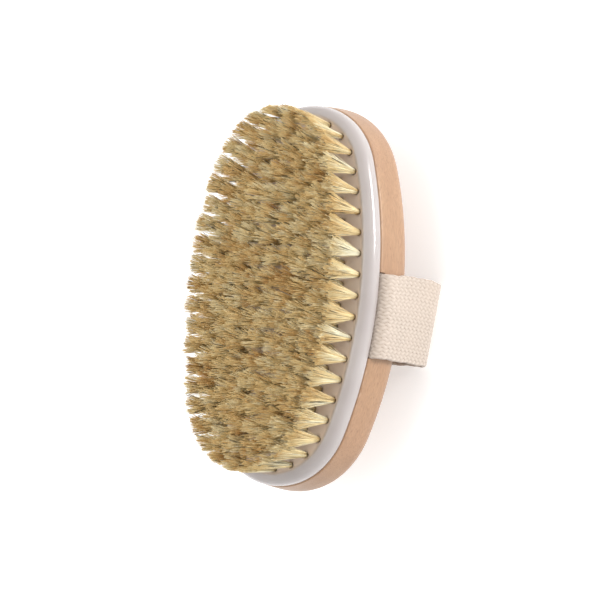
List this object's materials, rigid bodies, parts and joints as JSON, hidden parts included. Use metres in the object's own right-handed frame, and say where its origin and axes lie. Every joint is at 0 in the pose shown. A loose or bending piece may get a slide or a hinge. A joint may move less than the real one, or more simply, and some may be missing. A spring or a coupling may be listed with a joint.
{
  "type": "body dry brush",
  "caption": "Oval palm brush for dry brushing the body: wooden back, rubber cushion with bristle tufts, and a fabric strap loop for the hand.",
  "frame": {"origin": "centre of the footprint on the ground, under the flat outer face of the strap the brush lies on", "axes": "+X along the length of the oval, +Y across its width, +Z the way the bristles point"},
  "size_m": [0.133, 0.0766, 0.058],
  "materials": {
    "beech": "fine sanded beech with a thin clear finish, grain along the length",
    "cushion_rubber": "smooth glossy milky rubber, slightly translucent",
    "strap_cotton": "undyed cotton webbing with a twill weave",
    "boar_bristle": "pale natural bristle in tight tufts with trimmed, slightly split tips",
    "staple_steel": "bright drawn wire",
    "anchor_wire": "flat drawn wire"
  },
  "bodies": {
    "brush_back": {"wooden_back": "beech", "rubber_cushion": "cushion_rubber", "hand_strap": "strap_cotton", "strap_staples": "staple_steel"},
    "bristle_field": {"tuft_ring_1": "boar_bristle", "tuft_ring_2": "boar_bristle", "tuft_ring_3": "boar_bristle", "tuft_ring_4": "boar_bristle", "tuft_ring_5": "boar_bristle", "tuft_anchors_1": "anchor_wire", "tuft_anchors_2": "anchor_wire", "tuft_anchors_3": "anchor_wire", "tuft_anchors_4": "anchor_wire", "tuft_anchors_5": "anchor_wire"}
  },
  "joints": [
    {"name": "cushion_press", "type": "slide", "parent": "brush_back", "child": "bristle_field", "axis": [0, 0, -1], "range_m": [0, 0.0018], "stiffness_N_per_m": 4000, "deforming": ["rubber_cushion"]}
  ]
}
